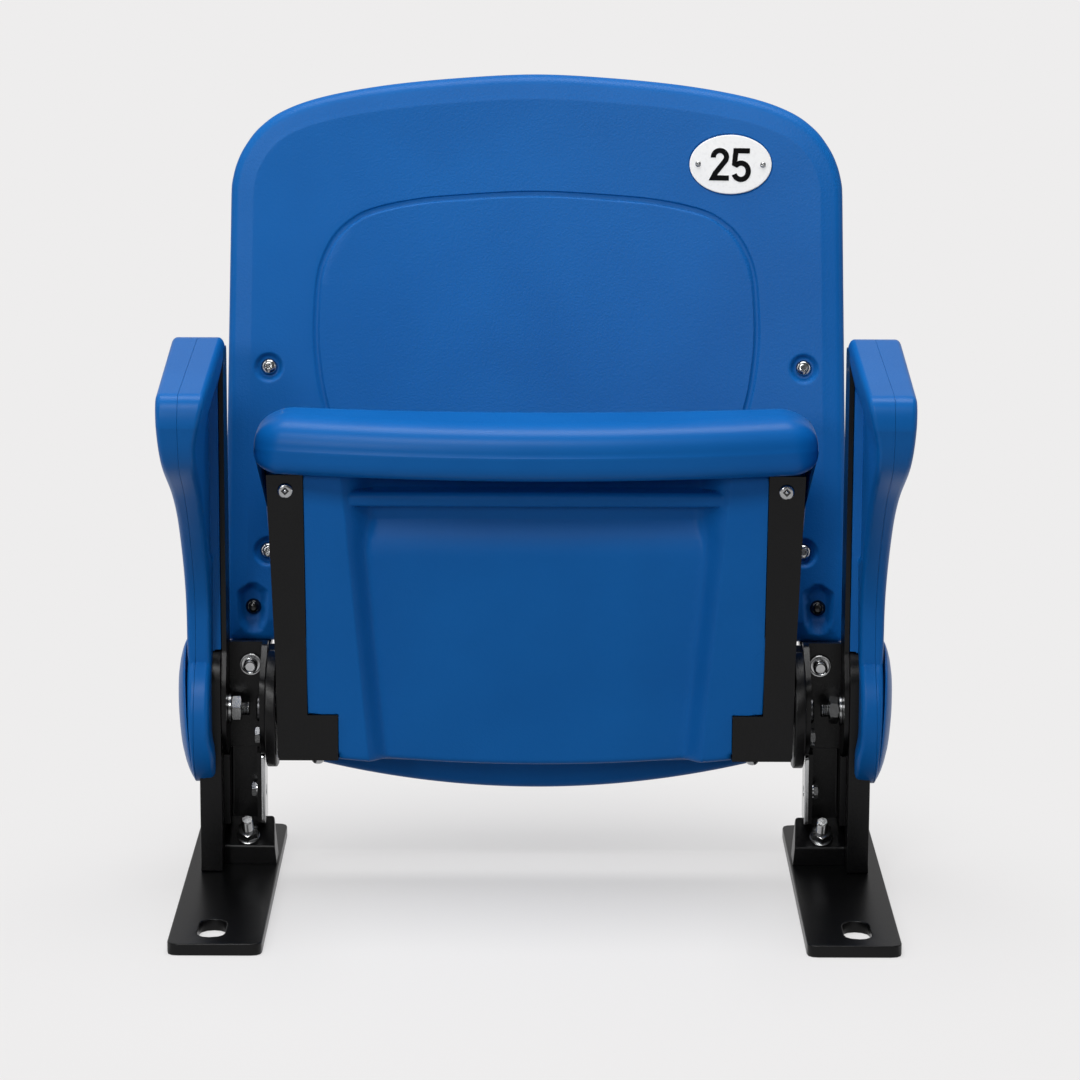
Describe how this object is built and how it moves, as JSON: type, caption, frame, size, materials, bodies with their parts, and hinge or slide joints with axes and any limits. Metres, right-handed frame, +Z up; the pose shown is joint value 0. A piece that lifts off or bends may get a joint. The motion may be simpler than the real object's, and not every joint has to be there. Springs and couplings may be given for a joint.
{
  "type": "stadium seat",
  "caption": "Tip-up stadium seat with a moulded back, sprung folding seat pan, hinge brackets on floor plates and padded-profile plastic armrests.",
  "frame": {"origin": "on the floor, under the middle of the seat's bounding box", "axes": "+Z up, -Y out of the front of the seat, +X to the right as seen from the front"},
  "size_m": [0.605, 0.4282, 0.6665],
  "materials": {
    "blue_plastic": "satin, fine leather-like grain",
    "black_steel": "black powder coat",
    "bright_steel": "bright zinc",
    "dark_steel": "blackened",
    "white_plate": "white, semi-gloss"
  },
  "bodies": {
    "stand": {"left_foot_plate": "black_steel", "left_leg_bar": "black_steel", "left_foot_lug": "black_steel", "left_foot_bolt": "bright_steel", "left_column": "black_steel", "left_column_strap": "bright_steel", "left_column_bolt": "bright_steel", "left_hinge_bracket": "black_steel", "left_bracket_bolt": "bright_steel", "left_arm_washer": "bright_steel", "left_arm_nut": "bright_steel", "left_arm_bolt": "bright_steel", "left_hinge_disc": "black_steel", "left_disc_bolt": "bright_steel", "left_pivot_pin": "dark_steel", "left_back_strap": "black_steel", "left_arm_outer_shell": "blue_plastic", "left_arm_inner_shell": "blue_plastic", "left_arm_cap": "blue_plastic", "left_back_bolt_upper": "bright_steel", "left_back_bolt_middle": "bright_steel", "left_back_bolt_lower": "dark_steel", "right_foot_plate": "black_steel", "right_leg_bar": "black_steel", "right_foot_lug": "black_steel", "right_foot_bolt": "bright_steel", "right_column": "black_steel", "right_column_strap": "bright_steel", "right_column_bolt": "bright_steel", "right_hinge_bracket": "black_steel", "right_bracket_bolt": "bright_steel", "right_arm_washer": "bright_steel", "right_arm_nut": "bright_steel", "right_arm_bolt": "bright_steel", "right_hinge_disc": "black_steel", "right_disc_bolt": "bright_steel", "right_pivot_pin": "dark_steel", "right_back_strap": "black_steel", "right_arm_outer_shell": "blue_plastic", "right_arm_inner_shell": "blue_plastic", "right_arm_cap": "blue_plastic", "right_back_bolt_upper": "bright_steel", "right_back_bolt_middle": "bright_steel", "right_back_bolt_lower": "dark_steel", "back_shell": "blue_plastic", "number_plate": "white_plate", "number_screw_left": "bright_steel", "number_screw_right": "bright_steel"},
    "seat": {"left_hinge_bush": "bright_steel", "left_torsion_spring": "dark_steel", "left_seat_arm": "black_steel", "left_seat_arm_screw": "bright_steel", "left_seat_foot_bolt": "dark_steel", "right_hinge_bush": "bright_steel", "right_torsion_spring": "dark_steel", "right_seat_arm": "black_steel", "right_seat_arm_screw": "bright_steel", "right_seat_foot_bolt": "dark_steel", "seat_top": "blue_plastic", "seat_pan": "blue_plastic"}
  },
  "joints": [
    {"name": "seat_tip", "type": "hinge", "parent": "stand", "child": "seat", "pos_m": [0, 0.01894, 0.1455], "axis": [1, 0, 0], "range_deg": [0, 85], "stiffness_Nm_per_rad": 3, "springref_deg": -34.38}
  ]
}
